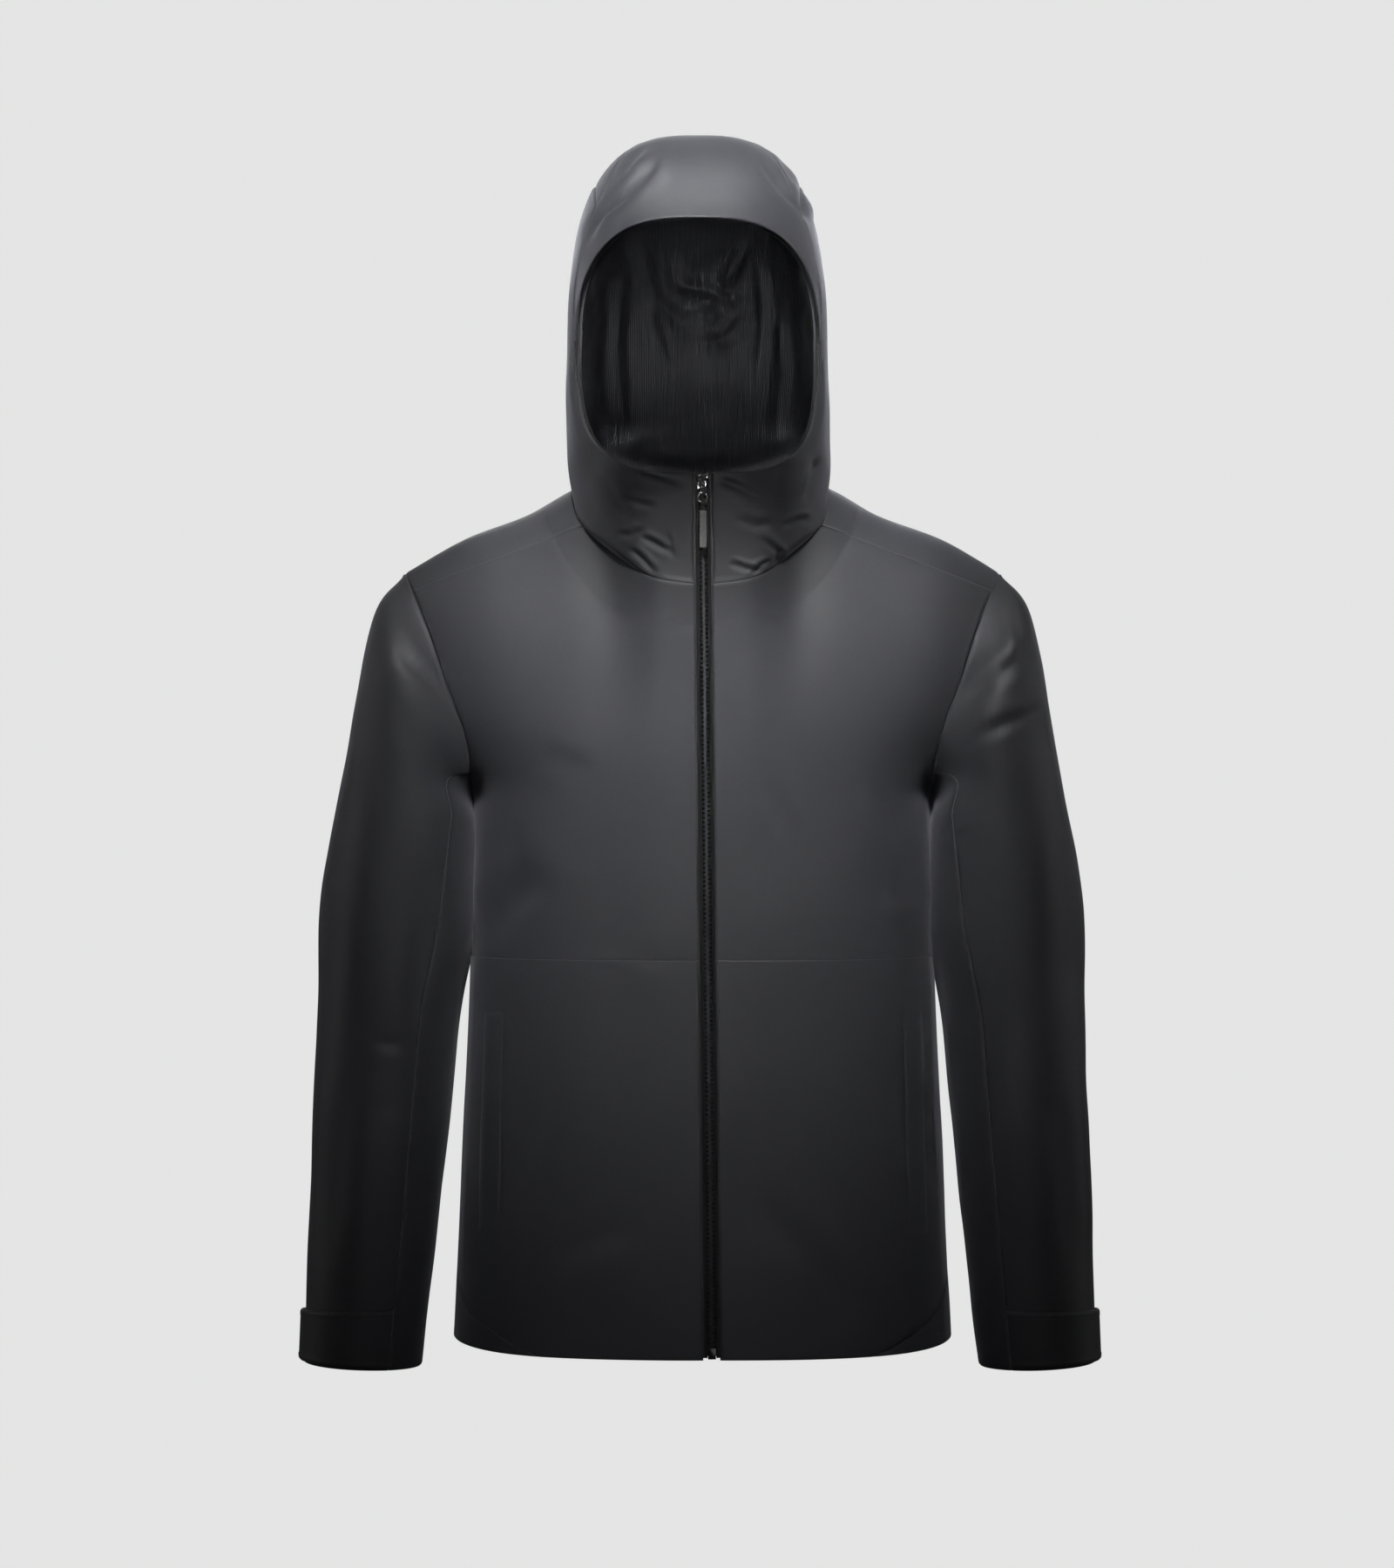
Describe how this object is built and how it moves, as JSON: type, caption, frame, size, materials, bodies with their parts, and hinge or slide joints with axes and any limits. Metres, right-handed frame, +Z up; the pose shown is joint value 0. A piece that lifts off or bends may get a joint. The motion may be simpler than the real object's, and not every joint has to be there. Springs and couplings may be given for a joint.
{
  "type": "hooded waterproof jacket",
  "caption": "Waterproof hardshell jacket worn closed: fixed hood with a stiff brim, full front zip, two zipped hand pockets, set-in sleeves with cuff tabs and a drop-tail hem.",
  "frame": {"origin": "centre of the nape seam, where the hood meets the back panel and the hanger loop is sewn in", "axes": "+Z up, the chest faces -Y, the wearer's left is +X"},
  "size_m": [0.6808, 0.2373, 1.0476],
  "materials": {
    "shell_cloth": "matt charcoal woven cloth with a water-repellent face",
    "lining_and_trim": "matt black knitted lining, tape and facing",
    "moulded_plastic": "black moulded teeth and sliders, half gloss",
    "webbing": "dark grey cord and rubbery woven tab"
  },
  "bodies": {
    "garment": {"zipper_tape_left": "lining_and_trim", "zipper_teeth_left": "moulded_plastic", "top_stop_left": "moulded_plastic", "zipper_tape_right": "lining_and_trim", "zipper_teeth_right": "moulded_plastic", "top_stop_right": "moulded_plastic", "retaining_box": "moulded_plastic", "insertion_pin": "moulded_plastic", "storm_flap": "lining_and_trim", "back_panel": "shell_cloth", "hood_crown": "shell_cloth", "hood_brim": "shell_cloth", "hood_edge_facing": "lining_and_trim", "hem_facing": "lining_and_trim", "hem_drawcord": "webbing", "hood_drawcord": "webbing", "hanger_loop": "webbing", "front_lower_left": "shell_cloth", "front_chest_left": "shell_cloth", "side_panel_left": "shell_cloth", "shoulder_yoke_left": "shell_cloth", "sleeve_outer_left": "shell_cloth", "sleeve_under_left": "shell_cloth", "hood_side_left": "shell_cloth", "cuff_facing_left": "lining_and_trim", "cuff_loop_patch_left": "lining_and_trim", "pocket_welt_left": "shell_cloth", "pocket_bag_left": "lining_and_trim", "pocket_tape_left": "lining_and_trim", "pocket_teeth_left": "moulded_plastic", "hood_cord_lock_left": "moulded_plastic", "hem_cord_lock_left": "moulded_plastic", "front_lower_right": "shell_cloth", "front_chest_right": "shell_cloth", "side_panel_right": "shell_cloth", "shoulder_yoke_right": "shell_cloth", "sleeve_outer_right": "shell_cloth", "sleeve_under_right": "shell_cloth", "hood_side_right": "shell_cloth", "cuff_facing_right": "lining_and_trim", "cuff_loop_patch_right": "lining_and_trim", "pocket_welt_right": "shell_cloth", "pocket_bag_right": "lining_and_trim", "pocket_tape_right": "lining_and_trim", "pocket_teeth_right": "moulded_plastic", "hood_cord_lock_right": "moulded_plastic", "hem_cord_lock_right": "moulded_plastic"},
    "slider": {"slider_body": "moulded_plastic"},
    "pull": {"slider_pull": "moulded_plastic"},
    "tab": {"pull_cord": "webbing", "pull_tab": "webbing"},
    "pocket_slide_left": {"pocket_slider_left": "moulded_plastic"},
    "cuff_strap_left": {"cuff_tab_left": "shell_cloth"},
    "hood_button_left": {"hood_lock_button_left": "webbing"},
    "hem_button_left": {"hem_lock_button_left": "webbing"},
    "pocket_slide_right": {"pocket_slider_right": "moulded_plastic"},
    "cuff_strap_right": {"cuff_tab_right": "shell_cloth"},
    "hood_button_right": {"hood_lock_button_right": "webbing"},
    "hem_button_right": {"hem_lock_button_right": "webbing"}
  },
  "joints": [
    {"name": "front_zip_slide", "type": "slide", "parent": "garment", "child": "slider", "axis": [0.0108, -0.0257, -0.9996], "range_m": [0, 0.715]},
    {"name": "pull_swing", "type": "hinge", "parent": "slider", "child": "pull", "pos_m": [0.0001, -0.17079, 0.01978], "axis": [-0.9999, 0, -0.0108], "range_deg": [0, 150]},
    {"name": "tab_swing", "type": "hinge", "parent": "pull", "child": "tab", "pos_m": [0.00028, -0.17122, 0.00314], "axis": [-0.9999, 0, -0.0108], "range_deg": [0, 30]},
    {"name": "pocket_zip_slide_left", "type": "slide", "parent": "garment", "child": "pocket_slide_left", "axis": [0.0278, -0.0305, -0.9992], "range_m": [0, 0.174]},
    {"name": "cuff_tab_peel_left", "type": "hinge", "parent": "garment", "child": "cuff_strap_left", "pos_m": [0.25806, -0.14869, -0.69888], "axis": [0.0836, -0.04, -0.9957], "range_deg": [0, 90]},
    {"name": "hood_lock_press_left", "type": "slide", "parent": "garment", "child": "hood_button_left", "axis": [-0.127, 0.9918, -0.0121], "range_m": [0, 0.0015], "stiffness_N_per_m": 300, "springref_m": -0.001},
    {"name": "hem_lock_press_left", "type": "slide", "parent": "garment", "child": "hem_button_left", "axis": [-0.9847, 0.1608, -0.0673], "range_m": [0, 0.0015], "stiffness_N_per_m": 300, "springref_m": -0.001},
    {"name": "pocket_zip_slide_right", "type": "slide", "parent": "garment", "child": "pocket_slide_right", "axis": [-0.0243, -0.0305, -0.9992], "range_m": [0, 0.174]},
    {"name": "cuff_tab_peel_right", "type": "hinge", "parent": "garment", "child": "cuff_strap_right", "pos_m": [-0.26195, -0.14869, -0.69888], "axis": [0.088, 0.04, 0.9953], "range_deg": [0, 90]},
    {"name": "hood_lock_press_right", "type": "slide", "parent": "garment", "child": "hood_button_right", "axis": [0.1252, 0.9921, -0.0076], "range_m": [0, 0.0015], "stiffness_N_per_m": 300, "springref_m": -0.001},
    {"name": "hem_lock_press_right", "type": "slide", "parent": "garment", "child": "hem_button_right", "axis": [0.9827, 0.1726, -0.067], "range_m": [0, 0.0015], "stiffness_N_per_m": 300, "springref_m": -0.001}
  ]
}
